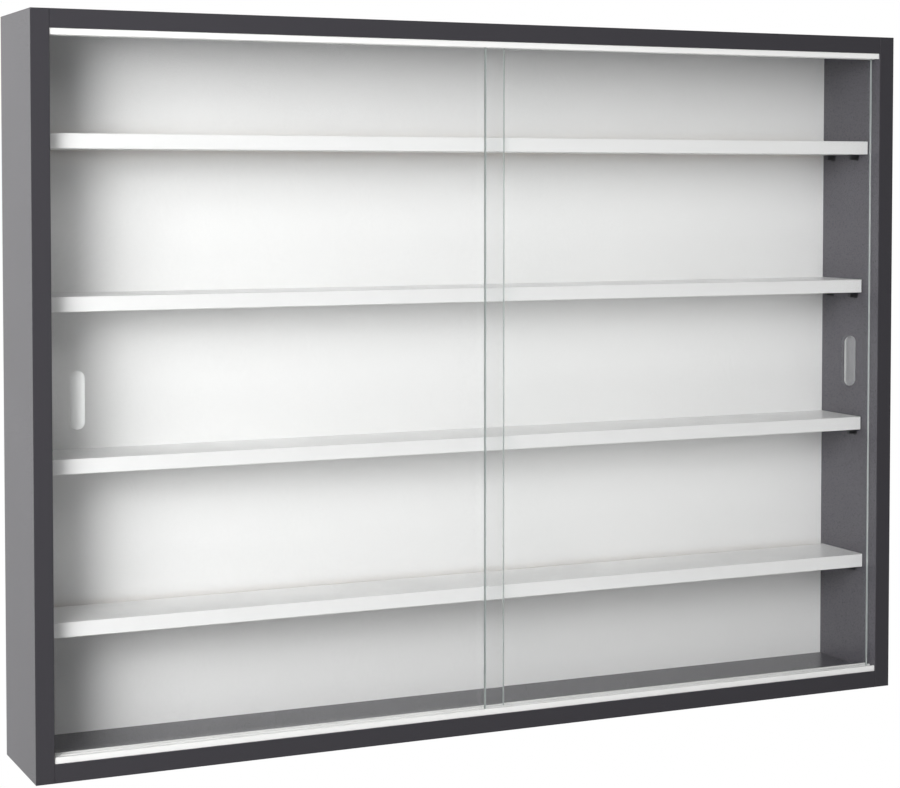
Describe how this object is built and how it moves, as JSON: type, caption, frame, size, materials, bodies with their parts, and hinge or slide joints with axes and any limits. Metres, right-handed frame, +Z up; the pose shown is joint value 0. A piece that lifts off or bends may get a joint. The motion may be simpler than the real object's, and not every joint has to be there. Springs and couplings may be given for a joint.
{
  "type": "wall mounted showcase",
  "caption": "Shallow wall mounted showcase with a dark carcass, white back and shelves, and two glass doors that slide past each other in plastic tracks.",
  "frame": {"origin": "on the wall plane, midway between the two keyhole entry holes of the hanger plates", "axes": "+X to the right along the width as seen from the front, +Y into the wall, +Z up; the doors face -Y"},
  "size_m": [0.8, 0.1, 0.6],
  "materials": {
    "graphite_board": "fine pearl melamine on chipboard, satin",
    "graphite_band": "satin edge band",
    "white_board": "white melamine on chipboard, satin",
    "white_band": "satin edge band",
    "white_back": "white lacquered hardboard",
    "white_track": "extruded, semi-matt",
    "clear_glass": "clear float glass, polished edges",
    "zinc_steel": "bright zinc plated",
    "burnished_steel": "black burnished",
    "zinc_casting": "raw zinc die casting",
    "beech_dowel": "bare fluted beech",
    "graphite_cap": "moulded, satin"
  },
  "bodies": {
    "carcass": {"left_side_panel": "graphite_board", "right_side_panel": "graphite_board", "top_panel": "graphite_board", "bottom_panel": "graphite_board", "back_panel": "white_back", "shelf_1": "white_board", "shelf_2": "white_board", "shelf_3": "white_board", "shelf_4": "white_board", "left_side_band": "graphite_band", "right_side_band": "graphite_band", "top_panel_band": "graphite_band", "bottom_panel_band": "graphite_band", "side_end_bands": "graphite_band", "shelf_1_band": "white_band", "shelf_2_band": "white_band", "shelf_3_band": "white_band", "shelf_4_band": "white_band", "top_track": "white_track", "bottom_track": "white_track", "shelf_1_pins": "burnished_steel", "shelf_2_pins": "burnished_steel", "shelf_3_pins": "burnished_steel", "shelf_4_pins": "burnished_steel", "cam_housings": "zinc_casting", "cam_bolts": "zinc_steel", "corner_dowels": "beech_dowel", "cam_caps": "graphite_cap", "left_hanger_plate": "zinc_steel", "right_hanger_plate": "zinc_steel", "hanger_screws": "zinc_steel"},
    "left_door": {"left_glass_door": "clear_glass"},
    "right_door": {"right_glass_door": "clear_glass"}
  },
  "joints": [
    {"name": "left_door_slide", "type": "slide", "parent": "carcass", "child": "left_door", "axis": [1, 0, 0], "range_m": [0, 0.377]},
    {"name": "right_door_slide", "type": "slide", "parent": "carcass", "child": "right_door", "axis": [-1, 0, 0], "range_m": [-0.0055, 0.3715]}
  ]
}
